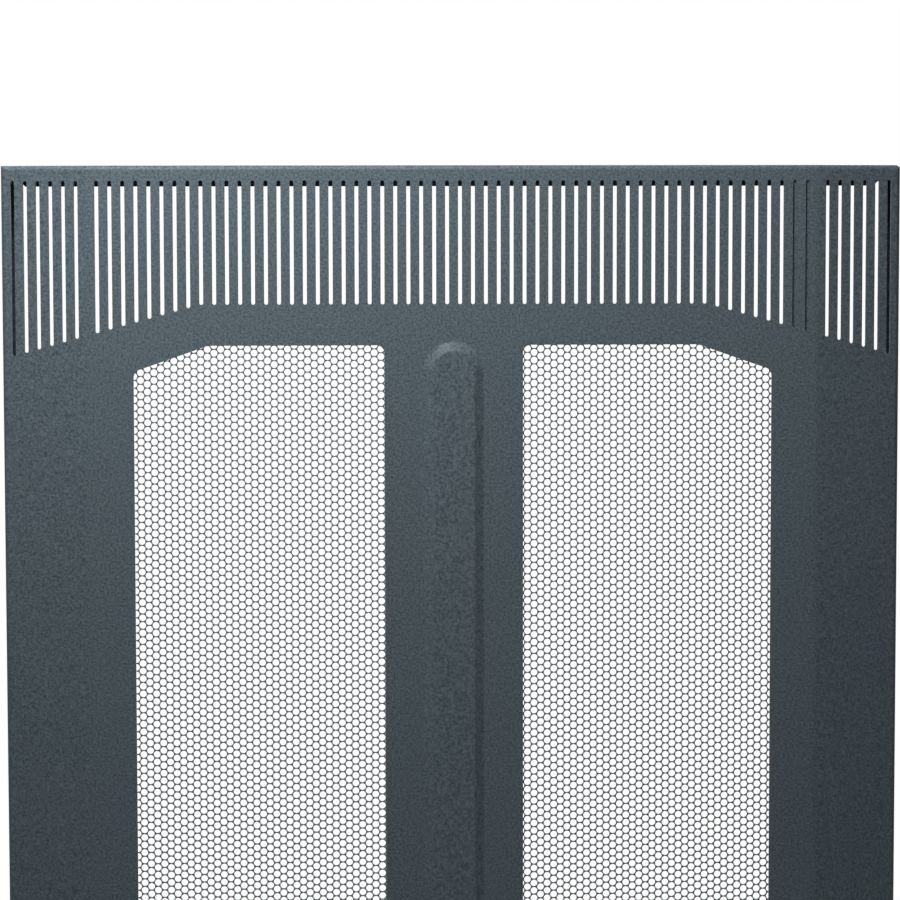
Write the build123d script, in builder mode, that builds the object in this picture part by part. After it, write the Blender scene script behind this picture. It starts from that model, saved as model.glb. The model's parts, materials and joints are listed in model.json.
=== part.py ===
from build123d import *
import os
from math import atan2, cos, floor, radians, sin, sqrt, tan

# Perforated front door for a rack cabinet 22 inches wide and 21 units tall, in millimetres.
# A folded steel skin carries vent slots along its top and two perforated sheets behind windows.
# Its left edge turns on a sprung pin below and a socket above, and a cam lock closes the right.
# The origin is the root of the pin's nose: +Z up the hinge axis, +X to the latch side, front to -Y.

# Folded skin
DOOR_WIDTH = 558.8
DOOR_HEIGHT = 971.0
DOOR_DEPTH = 36.0
SHEET = 1.2
FOLD_INSIDE = 1.8
WING_WIDTH = 53.4
WING_ANGLE = 9.5
WING_FOLD_INSIDE = 18.0
END_LIP = 12.5
SIDE_LIP = 9.0
CORNER_CLIP_WIDTH = 2.2
CORNER_CLIP_HEIGHT = 1.8

# Vent slots: places along the unfolded sheet from the door's middle, and down from its top edge
SLOT_PITCH = 8.0
SLOT_WIDTH = 2.4
SLOT_TOP = 9.3
SLOT_LENGTH = 76.5
SLOT_FOLD_GAP = 5.8
WING_SLOT_GAP = 6.9
SLOT_EDGE_GAP = 7.0
SLOT_LEVEL_WIDTH = 314.0
SLOT_DROP_ANGLE = 15.3

# Windows, with sloping outer top corners, and the raised rib between them
WINDOW_GAP = 25.3
MIDDLE_BAR = 86.0
SIDE_BAR = 27.9
BOTTOM_BAND = 110.0
WINDOW_CORNER = 5.0
WINDOW_SLOPE_RUN = 46.2
WINDOW_SLOPE_ANGLE = 19.1
RIB_WIDTH = 36.9
RIB_FLAT_WIDTH = 25.7
RIB_HEIGHT = 3.2
RIB_EDGE_RADIUS = 2.5
RIB_LEAD = 2.1

# Perforated sheets: their openings keep the real sheet's open share at a coarser pitch
PANEL_SHEET = 1.0
PANEL_OVERLAP = 6.0
OPENING_PITCH = 31.0
OPENING_WIDTH = 25.8
OPENING_SIDES = 12
OPENING_RIM = 1.5

# Stiffener behind the latch side's last slots
STIFFENER_SHEET = 1.2
STIFFENER_DEPTH = 22.0
STIFFENER_REAR_FLANGE = 9.0
STIFFENER_FOLD_GAP = 2.5
STIFFENER_PANEL_GAP = 1.1
STIFFENER_END_GAP = 0.5

# Hinge axis, and the sprung pin at its foot
HINGE_INSET = 7.5
HINGE_BACK = 12.5
PIN_RADIUS = 3.25
PIN_NOSE_RADIUS = 3.0
PIN_NOSE_LENGTH = 8.0
PIN_NOSE_CHAMFER = 0.8
PIN_RUNNING_GAP = 0.06
PIN_BEND_RADIUS = 8.0
PIN_BEND_GAP = 0.8
PIN_PULL_REACH = 26.0
PULL_CAP_RADIUS = 4.6
PULL_CAP_LENGTH = 15.0
PULL_CAP_WALL = 1.5
CLIP_RADIUS = 4.4
CLIP_SHEET = 0.8
CLIP_GROOVE_DEPTH = 0.7
CLIP_MOUTH = 3.6
SPRING_WIRE = 0.8
SPRING_TURNS = 9
SPRING_PIN_GAP = 0.2
SEAT_GAP = 0.1

# Hinge brackets and bushings: the lower one guides the pin and bears the door, the upper one is the socket
BRACKET_SHEET = 1.5
BRACKET_WIDTH = 15.0
BRACKET_REACH = 8.0
BRACKET_RISE = 124.0
BRACKET_HEIGHT = 46.0
UPPER_BRACKET_HEIGHT = 30.0
BUSH_RADIUS = 4.4
BUSH_FLANGE_RADIUS = 6.2
BUSH_FLANGE = 1.6
BUSH_STEM_RISE = 2.5
BUSH_SEAT_GAP = 0.05
SOCKET_RADIUS = 4.0
SOCKET_BORE_RADIUS = 3.05
SOCKET_LENGTH = 10.3
SOCKET_FLANGE_GAP = 0.1

# Cam lock on the latch-side wing, at mid height
LOCK_FROM_FOLD = 24.0
LOCK_RADIUS = 9.5
LOCK_FLATS = 16.0
LOCK_HEAD_RADIUS = 11.5
LOCK_HEAD = 2.5
LOCK_HEAD_EDGE = 0.8
LOCK_LENGTH = 19.0
LOCK_HOLE_GAP = 0.2
LOCK_NUT_FLATS = 24.0
LOCK_NUT = 4.0
PLUG_RADIUS = 6.0
PLUG_COLLAR_RADIUS = 7.6
PLUG_COLLAR = 1.2
PLUG_GAP = 0.05
PLUG_SHOULDER = 0.3
KEYWAY_LENGTH = 8.0
KEYWAY_WIDTH = 1.6
KEYWAY_DEPTH = 14.0
CAM_SQUARE = 7.0
CAM_SHEET = 2.0
CAM_REACH = 24.0
CAM_WIDTH = 13.0
CAM_EYE_RADIUS = 8.0
CAM_TIP_CORNER = 2.5
CAM_SCREW_RADIUS = 2.0
CAM_SCREW_DEPTH = 4.0
CAM_SCREW_HEAD_RADIUS = 4.0
CAM_SCREW_HEAD = 2.4
CAM_SCREW_EDGE = 0.7
CAM_WASHER_RADIUS = 6.5
CAM_WASHER = 1.0
THREAD_GAP = 0.05

# Rubber bumpers on the back, and the earth stud
BUMPER_RADIUS = 4.0
BUMPER_HEIGHT = 3.0
BUMPER_EDGE = 0.9
BUMPER_INSET = 42.0
STUD_RADIUS = 3.0
STUD_LENGTH = 16.0
STUD_RISE = 240.0
STUD_EDGE = 0.6
STUD_WASHER_RADIUS = 6.0
STUD_WASHER = 1.0
STUD_NUT_FLATS = 10.0
STUD_NUT = 5.0

# Places that follow from the sizes above
BASE_Z = BUSH_FLANGE
TOP_Z = BASE_Z + DOOR_HEIGHT
FRONT_Y = HINGE_BACK - DOOR_DEPTH
BACK_Y = HINGE_BACK
CENTRE_X = DOOR_WIDTH / 2 - HINGE_INSET
SIDE_INNER_X = SHEET - HINGE_INSET
HALF_CENTRE = DOOR_WIDTH / 2 - WING_WIDTH
WING_SIN = sin(radians(WING_ANGLE))
WING_COS = cos(radians(WING_ANGLE))
WING_LENGTH = WING_WIDTH / WING_COS
WINDOW_TOP = SLOT_TOP + SLOT_LENGTH + WINDOW_GAP
WINDOW_FOOT = DOOR_HEIGHT - BOTTOM_BAND
WINDOW_INNER = MIDDLE_BAR / 2
WINDOW_OUTER = HALF_CENTRE - SIDE_BAR
WINDOW_SLOPE_DROP = WINDOW_SLOPE_RUN * tan(radians(WINDOW_SLOPE_ANGLE))
CUT = 3 * SHEET

# The skin's flat front, its sketches measured from the door's middle and down from its top edge
front = Plane(origin=(CENTRE_X, FRONT_Y, TOP_Z), x_dir=(1, 0, 0), z_dir=(0, -1, 0))
back = Plane(origin=(CENTRE_X, BACK_Y, BASE_Z + DOOR_HEIGHT / 2), x_dir=(-1, 0, 0), z_dir=(0, 1, 0))


def wing(side):
    """The outer face of a wing, its sketches measured from the fold; side is 1 on the latch side."""
    fold = (CENTRE_X + side * HALF_CENTRE, FRONT_Y, TOP_Z)
    return Plane(origin=fold, x_dir=(WING_COS, side * WING_SIN, 0), z_dir=(side * WING_SIN, -WING_COS, 0))


def pan(inset):
    """The closed form inside the skin's outline, drawn in by an inset."""
    setback = WING_WIDTH * tan(radians(WING_ANGLE))
    half = DOOR_WIDTH / 2
    fold_radius = FOLD_INSIDE + SHEET - inset
    wing_fold_radius = WING_FOLD_INSIDE + SHEET - inset
    with BuildPart() as form:
        with BuildSketch(Plane((CENTRE_X, FRONT_Y, BASE_Z + inset))):
            Polygon(
                (-half, DOOR_DEPTH),
                (-half, setback),
                (-HALF_CENTRE, 0),
                (HALF_CENTRE, 0),
                (half, setback),
                (half, DOOR_DEPTH),
                align=None,
            )
            if inset > 0:
                offset(amount=-inset, kind=Kind.INTERSECTION)
            fillet(vertices().group_by(Axis.Y)[0], wing_fold_radius)
        extrude(amount=DOOR_HEIGHT - 2 * inset)
        uprights = edges().filter_by(Axis.Z).group_by(Axis.X)
        crossings = faces().filter_by(Axis.Z).edges().filter_by(lambda e: abs(e.tangent_at(0.5).X) > 0.5)
        fillet(uprights[0] + uprights[-1] + crossings, fold_radius)
    return form.part


def slot_foot(along):
    """How far below the top edge a slot ends, level in the middle and dropping towards the sides."""
    beyond = max(0.0, along - SLOT_LEVEL_WIDTH / 2)
    return SLOT_TOP + SLOT_LENGTH + beyond * tan(radians(SLOT_DROP_ANGLE))


def slots(places, along):
    """Upright vent slots of one length, in the current sketch."""
    foot = slot_foot(along)
    with Locations([(x, -(SLOT_TOP + foot) / 2) for x in places]):
        SlotOverall(foot - SLOT_TOP, SLOT_WIDTH, rotation=90)


def window(side, grow=0.0):
    """A window's outline in the current sketch, or a larger one for the sheet behind it."""
    Polygon(
        (side * WINDOW_INNER, -WINDOW_FOOT),
        (side * WINDOW_OUTER, -WINDOW_FOOT),
        (side * WINDOW_OUTER, -WINDOW_TOP - WINDOW_SLOPE_DROP),
        (side * (WINDOW_OUTER - WINDOW_SLOPE_RUN), -WINDOW_TOP),
        (side * WINDOW_INNER, -WINDOW_TOP),
        align=None,
    )
    if grow > 0:
        offset(amount=grow, kind=Kind.INTERSECTION)
    else:
        fillet(vertices(), WINDOW_CORNER)


def rib(inset, drop):
    """The rib's form: a long pad with sloping walls, drawn in and sunk for its hollow side."""
    length = WINDOW_FOOT - WINDOW_TOP + 2 * RIB_LEAD
    middle = (0, -(WINDOW_FOOT + WINDOW_TOP) / 2)
    wall = (RIB_WIDTH - RIB_FLAT_WIDTH) / 2
    with BuildPart() as form:
        with BuildSketch(front.offset(-drop)):
            with Locations(middle):
                SlotOverall(length - 2 * inset, RIB_WIDTH - 2 * inset, rotation=90)
        with BuildSketch(front.offset(RIB_HEIGHT - drop)):
            with Locations(middle):
                SlotOverall(length - 2 * inset - 2 * wall, RIB_FLAT_WIDTH - 2 * inset, rotation=90)
        loft(ruled=True)
        fillet(edges().group_by(Axis.Y)[0], RIB_EDGE_RADIUS - drop)
    return form.part


pan_outer = pan(0.0)
pan_inner = pan(SHEET)
rib_wall_angle = atan2(RIB_HEIGHT, (RIB_WIDTH - RIB_FLAT_WIDTH) / 2)
rib_outer = rib(0.0, 0.0)
rib_hollow = rib(SHEET * tan(rib_wall_angle / 2), SHEET)
half_slots = floor((HALF_CENTRE - SLOT_FOLD_GAP) / SLOT_PITCH + 0.5)
wing_slots = floor((WING_LENGTH - WING_SLOT_GAP - SLOT_EDGE_GAP) / SLOT_PITCH) + 1

with BuildPart() as door_skin:
    add(pan_outer)
    add(pan_inner, mode=Mode.SUBTRACT)
    # The opening in the back leaves the return lips, mitred at the corners
    with BuildSketch(back):
        half_width = DOOR_WIDTH / 2
        half_height = DOOR_HEIGHT / 2
        lip_corner = (half_width - SIDE_LIP, half_height - SIDE_LIP)
        lip_end = (half_width - END_LIP, half_height - END_LIP)
        Polygon(
            lip_corner,
            lip_end,
            (-lip_end[0], lip_end[1]),
            (-lip_corner[0], lip_corner[1]),
            (-lip_corner[0], -lip_corner[1]),
            (-lip_end[0], -lip_end[1]),
            (lip_end[0], -lip_end[1]),
            (lip_corner[0], -lip_corner[1]),
            align=None,
        )
    extrude(amount=-CUT, mode=Mode.SUBTRACT)
    add(rib_outer)
    rib_foot = edges().filter_by(lambda edge: edge.bounding_box().size.X < MIDDLE_BAR).filter_by_position(
        Axis.X, CENTRE_X - MIDDLE_BAR / 2, CENTRE_X + MIDDLE_BAR / 2
    )
    fillet(rib_foot.filter_by_position(Axis.Y, FRONT_Y, FRONT_Y), RIB_EDGE_RADIUS)
    add(rib_hollow, mode=Mode.SUBTRACT)
    from_middle = [(number + 0.5) * SLOT_PITCH for number in range(half_slots)]
    level = [along for along in from_middle if along <= SLOT_LEVEL_WIDTH / 2]
    with BuildSketch(front.offset(SHEET)):
        slots([side * along for along in level for side in (-1, 1)], 0.0)
        for along in from_middle[len(level) :]:
            slots([-along, along], along)
    extrude(amount=-CUT, mode=Mode.SUBTRACT)
    for side in (-1, 1):
        with BuildSketch(wing(side).offset(SHEET)):
            for number in range(wing_slots):
                from_fold = WING_SLOT_GAP + number * SLOT_PITCH
                slots([side * from_fold], HALF_CENTRE + from_fold)
        extrude(amount=-CUT, mode=Mode.SUBTRACT)
        with BuildSketch(front.offset(SHEET)):
            window(side)
        extrude(amount=-CUT, mode=Mode.SUBTRACT)
    # Seats for the two hinge bushings
    for seat, radius in ((BASE_Z, BUSH_RADIUS), (TOP_Z - SHEET, SOCKET_RADIUS)):
        with BuildSketch(Plane.XY.offset(seat)):
            Circle(radius + BUSH_SEAT_GAP)
        extrude(amount=SHEET, mode=Mode.SUBTRACT)
    # Clipped corner at the top of the latch side
    with BuildSketch(front):
        Polygon(
            (DOOR_WIDTH / 2, 0),
            (DOOR_WIDTH / 2 - CORNER_CLIP_WIDTH, 0),
            (DOOR_WIDTH / 2, -CORNER_CLIP_HEIGHT),
            align=None,
        )
    extrude(amount=-DOOR_DEPTH, mode=Mode.SUBTRACT)
    # Flatted hole that keeps the lock from turning
    with BuildSketch(wing(1).offset(SHEET)):
        with Locations((LOCK_FROM_FOLD, -DOOR_HEIGHT / 2)):
            Circle(LOCK_RADIUS + LOCK_HOLE_GAP)
            Rectangle(2 * LOCK_HEAD_RADIUS, LOCK_FLATS + 2 * LOCK_HOLE_GAP, mode=Mode.INTERSECT)
    extrude(amount=-CUT, mode=Mode.SUBTRACT)


def perforated_panel(side):
    """The sheet behind one window, with staggered openings in upright columns."""
    column_pitch = OPENING_PITCH * sqrt(3) / 2
    margin = OPENING_WIDTH / 2 + OPENING_RIM
    middle = (WINDOW_INNER + WINDOW_OUTER) / 2
    columns = floor((WINDOW_OUTER - WINDOW_INNER - 2 * margin) / column_pitch) + 1
    places = []
    for column in range(columns):
        x = middle + (column - (columns - 1) / 2) * column_pitch
        slope_part = max(0.0, x + margin - WINDOW_OUTER + WINDOW_SLOPE_RUN) / WINDOW_SLOPE_RUN
        highest = WINDOW_TOP + margin + slope_part * WINDOW_SLOPE_DROP
        depth = WINDOW_FOOT - margin - column % 2 * OPENING_PITCH / 2
        while depth >= highest:
            places.append((side * x, -depth))
            depth -= OPENING_PITCH
    with BuildPart() as panel:
        with BuildSketch(front.offset(-SHEET)):
            window(side, PANEL_OVERLAP)
            with Locations(places):
                RegularPolygon(OPENING_WIDTH / 2, OPENING_SIDES, mode=Mode.SUBTRACT)
        extrude(amount=-PANEL_SHEET)
    return panel


perforated_panel_left = perforated_panel(-1)
perforated_panel_right = perforated_panel(1)

with BuildPart() as latch_side_stiffener:
    stiffener_start = SHEET + FOLD_INSIDE + STIFFENER_END_GAP
    flange_start = WINDOW_OUTER + PANEL_OVERLAP + STIFFENER_PANEL_GAP
    web = HALF_CENTRE - STIFFENER_FOLD_GAP
    rear_end = web + STIFFENER_REAR_FLANGE
    rear_face = SHEET + STIFFENER_DEPTH
    with BuildSketch(Plane((CENTRE_X, FRONT_Y, BASE_Z + stiffener_start))):
        with BuildLine():
            Polyline(
                (flange_start, SHEET),
                (web, SHEET),
                (web, rear_face - STIFFENER_SHEET),
                (rear_end, rear_face - STIFFENER_SHEET),
                (rear_end, rear_face),
                (web - STIFFENER_SHEET, rear_face),
                (web - STIFFENER_SHEET, SHEET + STIFFENER_SHEET),
                (flange_start, SHEET + STIFFENER_SHEET),
                close=True,
            )
        make_face()
        folds = vertices().filter_by_position(Axis.X, web - STIFFENER_SHEET, web).sort_by(Axis.Y)
        fillet([folds[0], folds[-1]], 2 * STIFFENER_SHEET)
    extrude(amount=DOOR_HEIGHT - 2 * stiffener_start)

bracket_foot = BASE_Z + BRACKET_RISE
bracket_top = bracket_foot + BRACKET_HEIGHT

with BuildPart() as lower_hinge_bracket:
    with BuildSketch(Plane.XZ):
        with Locations((SIDE_INNER_X, bracket_foot)):
            Rectangle(BRACKET_REACH - SIDE_INNER_X, BRACKET_HEIGHT, align=(Align.MIN, Align.MIN))
        with Locations((SIDE_INNER_X + BRACKET_SHEET, bracket_foot + BRACKET_SHEET)):
            Rectangle(
                BRACKET_REACH - SIDE_INNER_X,
                BRACKET_HEIGHT - 2 * BRACKET_SHEET,
                align=(Align.MIN, Align.MIN),
                mode=Mode.SUBTRACT,
            )
    extrude(amount=BRACKET_WIDTH / 2, both=True)
    with BuildSketch(Plane.XY.offset(bracket_foot)):
        Circle(PIN_RADIUS + PIN_RUNNING_GAP)
    extrude(amount=BRACKET_HEIGHT, mode=Mode.SUBTRACT)

clip_foot = bracket_foot + BRACKET_SHEET + SEAT_GAP
groove_radius = PIN_RADIUS - CLIP_GROOVE_DEPTH
pull_height = bracket_top + PIN_BEND_GAP + PIN_BEND_RADIUS

with BuildPart() as lower_hinge_pin:
    with BuildLine() as pin_path:
        FilletPolyline(
            (0, 0, 0),
            (0, 0, pull_height),
            (PIN_PULL_REACH, 0, pull_height),
            radius=PIN_BEND_RADIUS,
        )
    with BuildSketch(Plane(origin=pin_path.line @ 0, z_dir=pin_path.line % 0)):
        Circle(PIN_RADIUS)
    sweep()
    with BuildSketch(Plane.XY):
        Circle(PIN_NOSE_RADIUS)
    extrude(amount=-PIN_NOSE_LENGTH - PIN_NOSE_CHAMFER)
    chamfer(edges().group_by(Axis.Z)[0], PIN_NOSE_CHAMFER)
    with BuildSketch(Plane.XY.offset(clip_foot)):
        Circle(PIN_RADIUS)
        Circle(groove_radius, mode=Mode.SUBTRACT)
    extrude(amount=CLIP_SHEET, mode=Mode.SUBTRACT)

with BuildPart() as pin_retaining_clip:
    with BuildSketch(Plane.XY.offset(clip_foot)):
        Circle(CLIP_RADIUS)
        Circle(groove_radius, mode=Mode.SUBTRACT)
        with Locations((CLIP_RADIUS, 0)):
            Rectangle(2 * CLIP_RADIUS, CLIP_MOUTH, mode=Mode.SUBTRACT)
    extrude(amount=CLIP_SHEET)

pull_end = Plane((PIN_PULL_REACH, 0, pull_height), x_dir=(0, 1, 0), z_dir=(-1, 0, 0))

with BuildPart() as pin_pull_cap:
    with BuildSketch(pull_end.offset(-PULL_CAP_WALL)):
        Circle(PULL_CAP_RADIUS)
    extrude(amount=PULL_CAP_LENGTH)
    fillet(edges().group_by(Axis.X)[-1], PULL_CAP_WALL)
    with BuildSketch(pull_end):
        Circle(PIN_RADIUS)
    extrude(amount=PULL_CAP_LENGTH, mode=Mode.SUBTRACT)

with BuildPart() as lower_hinge_spring:
    spring_foot = clip_foot + CLIP_SHEET + SEAT_GAP + SPRING_WIRE / 2
    spring_head = bracket_top - BRACKET_SHEET - SEAT_GAP - SPRING_WIRE / 2
    coil_radius = PIN_RADIUS + SPRING_PIN_GAP + SPRING_WIRE / 2
    coil_height = spring_head - spring_foot
    with BuildLine() as coil:
        Helix(coil_height / SPRING_TURNS, coil_height, coil_radius, center=(0, 0, spring_foot))
    with BuildSketch(Plane(origin=coil.line @ 0, z_dir=coil.line % 0)):
        Circle(SPRING_WIRE / 2)
    sweep(is_frenet=True)

with BuildPart() as lower_hinge_bushing:
    with BuildSketch(Plane.XY):
        Circle(BUSH_FLANGE_RADIUS)
    extrude(amount=BUSH_FLANGE)
    with BuildSketch(Plane.XY):
        Circle(BUSH_RADIUS)
    extrude(amount=BUSH_FLANGE + SHEET + BUSH_STEM_RISE)
    with BuildSketch(Plane.XY):
        Circle(PIN_RADIUS + PIN_RUNNING_GAP)
    extrude(amount=BUSH_FLANGE + SHEET + BUSH_STEM_RISE, mode=Mode.SUBTRACT)

upper_bracket_top = TOP_Z - SHEET
upper_bracket_foot = upper_bracket_top - UPPER_BRACKET_HEIGHT
socket_seat = upper_bracket_top - BRACKET_SHEET

with BuildPart() as upper_hinge_bracket:
    with BuildSketch(Plane.XZ):
        with Locations((SIDE_INNER_X, upper_bracket_foot)):
            Rectangle(BRACKET_REACH - SIDE_INNER_X, UPPER_BRACKET_HEIGHT, align=(Align.MIN, Align.MIN))
        with Locations((SIDE_INNER_X + BRACKET_SHEET, upper_bracket_foot)):
            Rectangle(
                BRACKET_REACH - SIDE_INNER_X,
                UPPER_BRACKET_HEIGHT - BRACKET_SHEET,
                align=(Align.MIN, Align.MIN),
                mode=Mode.SUBTRACT,
            )
    extrude(amount=BRACKET_WIDTH / 2, both=True)
    with BuildSketch(Plane.XY.offset(socket_seat)):
        Circle(SOCKET_RADIUS + BUSH_SEAT_GAP)
    extrude(amount=BRACKET_SHEET, mode=Mode.SUBTRACT)

with BuildPart() as upper_hinge_bushing:
    with BuildSketch(Plane.XY.offset(TOP_Z)):
        Circle(SOCKET_RADIUS)
    extrude(amount=-SOCKET_LENGTH)
    with BuildSketch(Plane.XY.offset(socket_seat)):
        Circle(-SIDE_INNER_X - BRACKET_SHEET - SOCKET_FLANGE_GAP)
    extrude(amount=-BUSH_FLANGE)
    with BuildSketch(Plane.XY.offset(TOP_Z)):
        Circle(SOCKET_BORE_RADIUS)
    extrude(amount=-SOCKET_LENGTH, mode=Mode.SUBTRACT)

# Lock axis: out of the latch-side wing, with the sketches' x towards the door's edge
lock_face = wing(1)
lock_place = lock_face.from_local_coords(Vector(LOCK_FROM_FOLD, -DOOR_HEIGHT / 2, 0))
lock = Plane(origin=lock_place, x_dir=lock_face.x_dir, z_dir=lock_face.z_dir)
lock_axis = Axis(lock.origin, lock.z_dir)
plug_seat = LOCK_HEAD - PLUG_COLLAR
cam_seat = -LOCK_LENGTH - PLUG_SHOULDER
washer_seat = cam_seat - CAM_SHEET
screw_seat = washer_seat - CAM_WASHER

with BuildPart() as lock_body:
    with BuildSketch(lock):
        Circle(LOCK_HEAD_RADIUS)
    extrude(amount=LOCK_HEAD)
    chamfer(edges().group_by(lock_axis)[-1], LOCK_HEAD_EDGE)
    with BuildSketch(lock):
        Circle(LOCK_RADIUS)
        Rectangle(2 * LOCK_RADIUS, LOCK_FLATS, mode=Mode.INTERSECT)
    extrude(amount=-LOCK_LENGTH)
    with BuildSketch(lock.offset(LOCK_HEAD)):
        Circle(PLUG_RADIUS + PLUG_GAP)
    extrude(amount=-LOCK_HEAD - LOCK_LENGTH, mode=Mode.SUBTRACT)
    with BuildSketch(lock.offset(LOCK_HEAD)):
        Circle(PLUG_COLLAR_RADIUS + PLUG_GAP)
    extrude(amount=-PLUG_COLLAR - PLUG_GAP, mode=Mode.SUBTRACT)

with BuildPart() as lock_plug:
    with BuildSketch(lock.offset(LOCK_HEAD)):
        Circle(PLUG_COLLAR_RADIUS)
    extrude(amount=-PLUG_COLLAR)
    with BuildSketch(lock.offset(plug_seat)):
        Circle(PLUG_RADIUS)
    extrude(amount=cam_seat - plug_seat)
    with BuildSketch(lock.offset(cam_seat)):
        Rectangle(CAM_SQUARE, CAM_SQUARE)
    extrude(amount=-CAM_SHEET)
    with BuildSketch(lock.offset(LOCK_HEAD)):
        Rectangle(KEYWAY_WIDTH, KEYWAY_LENGTH)
    extrude(amount=-KEYWAY_DEPTH, mode=Mode.SUBTRACT)
    with BuildSketch(lock.offset(washer_seat)):
        Circle(CAM_SCREW_RADIUS + THREAD_GAP)
    extrude(amount=CAM_SHEET + CAM_SCREW_DEPTH, mode=Mode.SUBTRACT)

with BuildPart() as lock_nut:
    with BuildSketch(lock.offset(-SHEET)):
        RegularPolygon(LOCK_NUT_FLATS / 2, 6, major_radius=False)
        Circle(LOCK_RADIUS + THREAD_GAP, mode=Mode.SUBTRACT)
    extrude(amount=-LOCK_NUT)

with BuildPart() as lock_cam:
    with BuildSketch(lock.offset(cam_seat)):
        Rectangle(CAM_REACH, CAM_WIDTH, align=(Align.MIN, Align.CENTER))
        fillet(vertices().group_by(Axis.X)[-1], CAM_TIP_CORNER)
        Circle(CAM_EYE_RADIUS)
        Rectangle(CAM_SQUARE + 2 * THREAD_GAP, CAM_SQUARE + 2 * THREAD_GAP, mode=Mode.SUBTRACT)
    extrude(amount=-CAM_SHEET)

with BuildPart() as cam_washer:
    with BuildSketch(lock.offset(washer_seat)):
        Circle(CAM_WASHER_RADIUS)
        Circle(CAM_SCREW_RADIUS + THREAD_GAP, mode=Mode.SUBTRACT)
    extrude(amount=-CAM_WASHER)

with BuildPart() as cam_screw:
    with BuildSketch(lock.offset(screw_seat)):
        Circle(CAM_SCREW_HEAD_RADIUS)
    extrude(amount=-CAM_SCREW_HEAD)
    fillet(edges().group_by(lock_axis)[0], CAM_SCREW_EDGE)
    with BuildSketch(lock.offset(screw_seat)):
        Circle(CAM_SCREW_RADIUS)
    extrude(amount=CAM_WASHER + CAM_SHEET + CAM_SCREW_DEPTH)

with BuildPart() as door_bumpers:
    with BuildSketch(back):
        with GridLocations(DOOR_WIDTH - 2 * BUMPER_INSET, DOOR_HEIGHT - END_LIP, 2, 2):
            Circle(BUMPER_RADIUS)
    extrude(amount=BUMPER_HEIGHT)
    fillet(edges().group_by(Axis.Y)[-1], BUMPER_EDGE)

# Earth stud, welded to the hinge-side flange
stud = Plane((SIDE_INNER_X, 0, BASE_Z + STUD_RISE), x_dir=(0, 1, 0), z_dir=(1, 0, 0))

with BuildPart() as ground_stud:
    with BuildSketch(stud):
        Circle(STUD_RADIUS)
    extrude(amount=STUD_LENGTH)
    chamfer(edges().group_by(Axis.X)[-1], STUD_EDGE)

with BuildPart() as ground_washer:
    with BuildSketch(stud):
        Circle(STUD_WASHER_RADIUS)
        Circle(STUD_RADIUS + THREAD_GAP, mode=Mode.SUBTRACT)
    extrude(amount=STUD_WASHER)

with BuildPart() as ground_nut:
    with BuildSketch(stud.offset(STUD_WASHER)):
        RegularPolygon(STUD_NUT_FLATS / 2, 6, major_radius=False)
        Circle(STUD_RADIUS + THREAD_GAP, mode=Mode.SUBTRACT)
    extrude(amount=STUD_NUT)

pieces = {
    "door_skin": door_skin,
    "perforated_panel_left": perforated_panel_left,
    "perforated_panel_right": perforated_panel_right,
    "latch_side_stiffener": latch_side_stiffener,
    "lower_hinge_bracket": lower_hinge_bracket,
    "lower_hinge_pin": lower_hinge_pin,
    "lower_hinge_spring": lower_hinge_spring,
    "pin_retaining_clip": pin_retaining_clip,
    "pin_pull_cap": pin_pull_cap,
    "lower_hinge_bushing": lower_hinge_bushing,
    "upper_hinge_bracket": upper_hinge_bracket,
    "upper_hinge_bushing": upper_hinge_bushing,
    "lock_body": lock_body,
    "lock_plug": lock_plug,
    "lock_nut": lock_nut,
    "lock_cam": lock_cam,
    "cam_washer": cam_washer,
    "cam_screw": cam_screw,
    "door_bumpers": door_bumpers,
    "ground_stud": ground_stud,
    "ground_washer": ground_washer,
    "ground_nut": ground_nut,
}

os.makedirs("parts", exist_ok=True)
for name, piece in pieces.items():
    piece.part.label = name
    export_step(piece.part, f"parts/{name}.step")
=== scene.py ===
import json
from math import ceil, cos, floor, pi, radians, sin, sqrt

import bpy
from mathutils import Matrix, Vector


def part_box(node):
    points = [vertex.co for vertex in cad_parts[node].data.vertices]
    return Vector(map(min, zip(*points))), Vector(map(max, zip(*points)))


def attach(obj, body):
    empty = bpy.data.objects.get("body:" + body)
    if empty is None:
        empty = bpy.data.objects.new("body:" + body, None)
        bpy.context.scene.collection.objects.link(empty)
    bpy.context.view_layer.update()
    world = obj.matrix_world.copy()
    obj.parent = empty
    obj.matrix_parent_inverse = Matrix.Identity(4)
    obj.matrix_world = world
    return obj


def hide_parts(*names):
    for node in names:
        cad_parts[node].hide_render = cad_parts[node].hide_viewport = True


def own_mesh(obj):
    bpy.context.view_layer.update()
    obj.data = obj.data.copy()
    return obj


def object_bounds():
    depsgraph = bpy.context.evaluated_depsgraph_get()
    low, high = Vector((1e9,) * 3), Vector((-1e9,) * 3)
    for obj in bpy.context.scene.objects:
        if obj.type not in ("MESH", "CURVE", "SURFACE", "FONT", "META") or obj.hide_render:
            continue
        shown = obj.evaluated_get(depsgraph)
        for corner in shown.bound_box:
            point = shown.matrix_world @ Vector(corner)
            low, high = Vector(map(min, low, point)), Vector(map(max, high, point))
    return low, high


MM = 0.001

# Perforated sheet: round holes in upright columns, each column half a pitch off the last
HOLE_PITCH = 4.77 * MM
HOLE_WIDTH = 4.24 * MM
COLUMN_PITCH = HOLE_PITCH * sqrt(3) / 2
# A hole's twelve corners lie a little outside its circle, so that its area is the round hole's
HOLE_CORNER_REACH = HOLE_WIDTH / 2 * sqrt(pi / 3)
# The middle of one hole in each sheet, as X and Z
LEFT_HOLE = (135.82 * MM, 849.70 * MM)
RIGHT_HOLE = (449.97 * MM, 849.58 * MM)
# The sheets' sloping outer corners, and how far below its top edge a sheet's outer edge meets the slope
CORNER_ANGLE = radians(19.1)
CORNER_DROP = 17.73 * MM
WELD_GAP = 0.01 * MM

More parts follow.
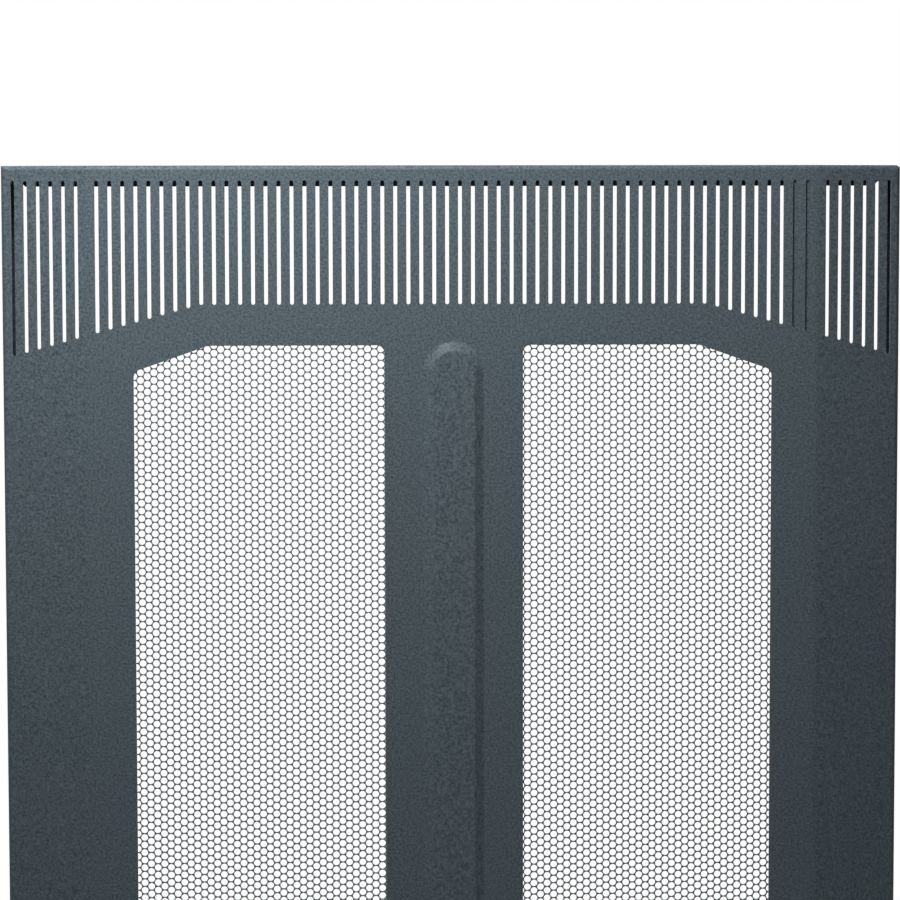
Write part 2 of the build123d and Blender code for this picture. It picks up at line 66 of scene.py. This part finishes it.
# The powder coat: its grain, drawn coarser than the real one so that it shows, its relief and its gloss patches
COAT_GRAIN = 1.3 * MM
COAT_RELIEF = 0.12 * MM
COAT_CLOUD = 40 * MM

# Edges that turn by less than this look rounded
SMOOTH_ANGLE = radians(40)

# The stage: the floor's place and width, how light it is seen, and how much the studio lights the door
DOOR_MIDDLE_X = 272 * MM
FLOOR_WIDTH = 3000 * MM
FLOOR_GAP = 0.3 * MM
FLOOR_LIFT = 0.65
STUDIO_LIGHT = 0.02
# Softboxes: name, place, the point they face, side length and power in watts
LAMPS = (
    ("key", (0.07, -0.43, 1.44), (0.20, -0.02, 0.75), 0.3, 7.9),
    ("low fill", (0.20, -1.20, 0.42), (0.27, -0.02, 0.20), 0.6, 0.5),
    ("rear fill", (1.2, 1.8, 1.6), (0.27, 0, 0.5), 1.0, 25.0),
)

# The camera, fitted to the photograph's holes, slots and edges; its turn is in degrees
CAMERA_LENS = 123.16
CAMERA_SENSOR = 36.0
CAMERA_PLACE = (0.19953, -1.93076, 0.93655)
CAMERA_TURN = (85.796, 0.100, -2.107)

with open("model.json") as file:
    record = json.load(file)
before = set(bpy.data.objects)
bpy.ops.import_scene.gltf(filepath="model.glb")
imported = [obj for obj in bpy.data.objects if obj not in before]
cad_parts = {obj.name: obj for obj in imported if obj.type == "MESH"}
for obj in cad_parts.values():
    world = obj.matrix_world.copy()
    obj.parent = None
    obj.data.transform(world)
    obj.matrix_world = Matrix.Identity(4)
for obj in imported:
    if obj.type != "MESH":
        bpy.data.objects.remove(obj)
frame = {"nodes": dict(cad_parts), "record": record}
cad_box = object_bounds()


def linear(code):
    """An sRGB hex colour as linear red, green, blue and alpha."""
    channels = [int(code[place : place + 2], 16) / 255 for place in (1, 3, 5)]
    return (*[c / 12.92 if c <= 0.04045 else ((c + 0.055) / 1.055) ** 2.4 for c in channels], 1.0)


def add_node(tree, kind, inputs, **settings):
    """Adds a node to a tree with its settings, and fills or links its inputs."""
    node = tree.nodes.new(kind)
    for name, value in settings.items():
        setattr(node, name, value)
    for name, value in inputs.items():
        if isinstance(value, bpy.types.NodeSocket):
            tree.links.new(value, node.inputs[name])
        else:
            node.inputs[name].default_value = value
    return node


def new_material(name):
    """A material with its tree, its shader and the piece's own coordinates."""
    material = bpy.data.materials.new(name)
    material.use_nodes = True
    tree = material.node_tree
    place = add_node(tree, "ShaderNodeTexCoord", {}).outputs["Object"]
    return material, tree, tree.nodes["Principled BSDF"], place


def powder_coat():
    """Fine-textured polyester powder coat on steel: a satin slate grey whose grain breaks up the light."""
    material, tree, shader, place = new_material("fine-textured slate powder coat")
    grain = add_node(tree, "ShaderNodeTexNoise", {"Vector": place, "Scale": 1 / COAT_GRAIN, "Detail": 2.0})
    cloud = add_node(tree, "ShaderNodeTexNoise", {"Vector": place, "Scale": 1 / COAT_CLOUD, "Detail": 2.0})
    shade = add_node(tree, "ShaderNodeValToRGB", {"Fac": grain.outputs["Fac"]})
    shade.color_ramp.elements[0].position = 0.3
    shade.color_ramp.elements[0].color = linear("#3b474e")
    shade.color_ramp.elements[1].position = 0.7
    shade.color_ramp.elements[1].color = linear("#657178")
    rough = add_node(
        tree, "ShaderNodeMapRange", {"Value": cloud.outputs["Fac"], "To Min": 0.48, "To Max": 0.56}
    )
    relief = add_node(
        tree, "ShaderNodeBump", {"Height": grain.outputs["Fac"], "Strength": 0.5, "Distance": COAT_RELIEF}
    )
    tree.links.new(shade.outputs["Color"], shader.inputs["Base Color"])
    tree.links.new(rough.outputs["Result"], shader.inputs["Roughness"])
    tree.links.new(relief.outputs["Normal"], shader.inputs["Normal"])
    shader.inputs["Specular IOR Level"].default_value = 0.15
    return material


def plated_metal(name, colour, rough_low, rough_high, grain_mm):
    """Plated or drawn steel: a metal whose gloss wanders a little with its grain."""
    material, tree, shader, place = new_material(name)
    grain = add_node(
        tree, "ShaderNodeTexNoise", {"Vector": place, "Scale": 1 / (grain_mm * MM), "Detail": 3.0}
    )
    rough = add_node(
        tree, "ShaderNodeMapRange", {"Value": grain.outputs["Fac"], "To Min": rough_low, "To Max": rough_high}
    )
    tree.links.new(rough.outputs["Result"], shader.inputs["Roughness"])
    shader.inputs["Base Color"].default_value = linear(colour)
    shader.inputs["Metallic"].default_value = 1.0
    return material


def moulded(name, colour, roughness, grain_mm, relief_mm):
    """Moulded or dipped plastic and rubber: one colour through, with a faint skin texture."""
    material, tree, shader, place = new_material(name)
    grain = add_node(
        tree, "ShaderNodeTexNoise", {"Vector": place, "Scale": 1 / (grain_mm * MM), "Detail": 2.0}
    )
    relief = add_node(
        tree, "ShaderNodeBump", {"Height": grain.outputs["Fac"], "Strength": 0.4, "Distance": relief_mm * MM}
    )
    tree.links.new(relief.outputs["Normal"], shader.inputs["Normal"])
    shader.inputs["Base Color"].default_value = linear(colour)
    shader.inputs["Roughness"].default_value = roughness
    return material


slate_coat = powder_coat()
finishes = {
    "powder_coat": slate_coat,
    "zinc_plate": plated_metal("bright zinc plate", "#c3c6c8", 0.22, 0.40, 1.2),
    "spring_steel": plated_metal("drawn spring steel", "#8f9193", 0.28, 0.42, 0.6),
    "copper_plate": plated_metal("copper-plated weld stud", "#b9785a", 0.30, 0.45, 0.8),
    "bright_chrome": plated_metal("bright chrome plate", "#d6d8da", 0.08, 0.16, 2.0),
    "nylon": moulded("natural nylon", "#d8d4c6", 0.45, 1.0, 0.02),
    "vinyl": moulded("dipped black vinyl", "#1b1b1d", 0.38, 0.8, 0.03),
    "rubber": moulded("black rubber", "#19191a", 0.75, 0.5, 0.04),
}
for subpart in frame["record"]["subparts"]:
    slots = frame["nodes"][subpart["node"]].data.materials
    slots.clear()
    slots.append(finishes[subpart["material_slot"]])


def punched_cell(x, y, z):
    """One six-sided cell of sheet, facing the front, with a round hole punched in it."""
    bpy.ops.object.select_all(action="DESELECT")
    bpy.ops.mesh.primitive_circle_add(
        vertices=6,
        radius=HOLE_PITCH / sqrt(3),
        fill_type="NGON",
        location=(x, y, z),
        rotation=(pi / 2, pi / 6, 0),
    )
    cell = bpy.context.object
    bpy.ops.object.transform_apply(location=True, rotation=True, scale=True)
    bpy.ops.object.mode_set(mode="EDIT")
    bpy.ops.mesh.select_mode(type="FACE")
    bpy.ops.mesh.select_all(action="SELECT")
    rim = (HOLE_PITCH - HOLE_WIDTH) / 2
    bpy.ops.mesh.inset(thickness=rim)
    bpy.ops.mesh.region_to_loop()
    bpy.ops.mesh.subdivide(number_cuts=1)
    bpy.ops.transform.tosphere(value=1.0)
    reach = HOLE_PITCH / sqrt(3) - rim / cos(pi / 6)
    rounded = reach * (1 + cos(pi / 6)) / 2
    grow = HOLE_CORNER_REACH / rounded
    bpy.ops.transform.resize(value=(grow, grow, grow), center_override=(x, y, z))
    bpy.ops.mesh.select_mode(type="FACE")
    bpy.ops.object.mode_set(mode="OBJECT")
    for face in cell.data.polygons:
        face.select = len(face.vertices) == 12
    bpy.ops.object.mode_set(mode="EDIT")
    bpy.ops.mesh.delete(type="ONLY_FACE")
    bpy.ops.object.mode_set(mode="OBJECT")
    return cell


def repeat(piece, count, step):
    """Repeats a piece along a step, its touching edges welded."""
    array = piece.modifiers.new("repeat", "ARRAY")
    array.count = count
    array.use_relative_offset = False
    array.use_constant_offset = True
    array.constant_offset_displace = step
    array.use_merge_vertices = True
    array.merge_threshold = WELD_GAP
    bpy.ops.object.modifier_apply(modifier=array.name)


def shear_off(point, outwards):
    """Cuts away what lies beyond a plane from the piece in edit mode."""
    bpy.ops.mesh.select_all(action="SELECT")
    bpy.ops.mesh.bisect(plane_co=point, plane_no=outwards, clear_outer=True, threshold=0.0001 * MM)


def perforated_sheet(name, node, hole, side, foot, top):
    """A length of one perforated sheet between two heights; side is 1 for the sheet on the latch side."""
    low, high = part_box(node)
    first_pair = floor((low.x - hole[0]) / (2 * COLUMN_PITCH))
    first_row = floor((foot - hole[1]) / HOLE_PITCH) - 1
    x = hole[0] + first_pair * 2 * COLUMN_PITCH
    z = hole[1] + first_row * HOLE_PITCH
    sheet = punched_cell(x, low.y, z)
    sheet.name = sheet.data.name = name
    repeat(sheet, 2, (COLUMN_PITCH, 0, HOLE_PITCH / 2))
    repeat(sheet, ceil((high.x - x) / (2 * COLUMN_PITCH)) + 1, (2 * COLUMN_PITCH, 0, 0))
    repeat(sheet, ceil((top - z) / HOLE_PITCH) + 2, (0, 0, HOLE_PITCH))
    outer = high.x if side > 0 else low.x
    bpy.ops.object.mode_set(mode="EDIT")
    shear_off((low.x, 0, 0), (-1, 0, 0))
    shear_off((high.x, 0, 0), (1, 0, 0))
    shear_off((0, 0, foot), (0, 0, -1))
    shear_off((0, 0, top), (0, 0, 1))
    shear_off((outer, 0, high.z - CORNER_DROP), (side * sin(CORNER_ANGLE), 0, cos(CORNER_ANGLE)))
    bpy.ops.mesh.select_all(action="SELECT")
    bpy.ops.mesh.delete_loose()
    bpy.ops.object.mode_set(mode="OBJECT")
    wall = sheet.modifiers.new("wall", "SOLIDIFY")
    wall.thickness = high.y - low.y
    wall.offset = -1.0
    bpy.ops.object.modifier_apply(modifier=wall.name)
    bpy.ops.object.shade_smooth_by_angle(angle=SMOOTH_ANGLE)
    sheet.data.materials.append(slate_coat)
    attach(sheet, "door")
    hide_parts(node)


SHEETS = (("perforated_panel_left", LEFT_HOLE, -1), ("perforated_panel_right", RIGHT_HOLE, 1))
for node, hole, side in SHEETS:
    low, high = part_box(node)
    third = (high.z - low.z) / 3
    for number, part in enumerate(("lower", "middle", "upper")):
        foot = low.z + number * third
        perforated_sheet(node.replace("panel", part + "_sheet"), node, hole, side, foot, foot + third)


def pin_spring():
    """The hinge pin's spring, a copy of the CAD spring welded into one piece and carried by the door."""
    node = frame["nodes"]["lower_hinge_spring"]
    spring = bpy.data.objects.new("hinge_pin_spring", node.data.copy())
    bpy.context.scene.collection.objects.link(spring)
    bpy.ops.object.select_all(action="DESELECT")
    bpy.context.view_layer.objects.active = spring
    spring.select_set(True)
    bpy.ops.object.mode_set(mode="EDIT")
    bpy.ops.mesh.select_all(action="SELECT")
    bpy.ops.mesh.remove_doubles(threshold=0.001 * MM)
    bpy.ops.object.mode_set(mode="OBJECT")
    bpy.ops.object.shade_smooth_by_angle(angle=SMOOTH_ANGLE)
    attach(spring, "door")
    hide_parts("lower_hinge_spring")
    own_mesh(spring)


pin_spring()


def seen_directly(tree):
    """1 for rays from the camera and through or off clear and shiny pieces, 0 for the rest."""
    ray = add_node(tree, "ShaderNodeLightPath", {}).outputs
    seen = ray["Is Camera Ray"]
    for name in ("Is Glossy Ray", "Is Transmission Ray"):
        seen = add_node(tree, "ShaderNodeMath", {0: seen, 1: ray[name]}, operation="MAXIMUM").outputs[0]
    return seen


# Pale floor under the door: it is seen lighter than it is lit, and keeps the shadow
bpy.ops.object.select_all(action="DESELECT")
bpy.ops.mesh.primitive_plane_add(size=FLOOR_WIDTH, location=(DOOR_MIDDLE_X, 0, cad_box[0].z - FLOOR_GAP))
floor_board = bpy.context.object
floor_board.name = "floor"
board, tree, shader, _ = new_material("matt pale board")
lift = add_node(tree, "ShaderNodeMath", {0: seen_directly(tree), 1: FLOOR_LIFT}, operation="MULTIPLY")
tree.links.new(lift.outputs[0], shader.inputs["Emission Strength"])
shader.inputs["Emission Color"].default_value = linear("#ffffff")
shader.inputs["Base Color"].default_value = linear("#bcbcba")
shader.inputs["Roughness"].default_value = 0.8
floor_board.data.materials.append(board)

# White studio: the camera and mirrors see it white, and it lights the door softly
world = bpy.data.worlds.new("white studio")
bpy.context.scene.world = world
world.use_nodes = True
tree = world.node_tree
level = add_node(
    tree, "ShaderNodeMapRange", {"Value": seen_directly(tree), "To Min": STUDIO_LIGHT, "To Max": 1.0}
)
backdrop = tree.nodes["Background"]
backdrop.inputs["Color"].default_value = linear("#ffffff")
tree.links.new(level.outputs["Result"], backdrop.inputs["Strength"])


def softbox(name, place, aim, size, watts):
    """A square softbox turned to a point."""
    data = bpy.data.lights.new(name, "AREA")
    data.shape = "SQUARE"
    data.size = size
    data.energy = watts
    lamp = bpy.data.objects.new(name, data)
    bpy.context.scene.collection.objects.link(lamp)
    lamp.location = place
    lamp.rotation_euler = (Vector(aim) - Vector(place)).to_track_quat("-Z", "Y").to_euler()


for lamp in LAMPS:
    softbox(*lamp)

camera_data = bpy.data.cameras.new("camera")
camera_data.lens = CAMERA_LENS
camera_data.sensor_width = CAMERA_SENSOR
camera = bpy.data.objects.new("camera", camera_data)
bpy.context.scene.collection.objects.link(camera)
camera.location = CAMERA_PLACE
camera.rotation_euler = [radians(turn) for turn in CAMERA_TURN]
bpy.context.scene.camera = camera
bpy.context.scene.view_settings.view_transform = "Standard"
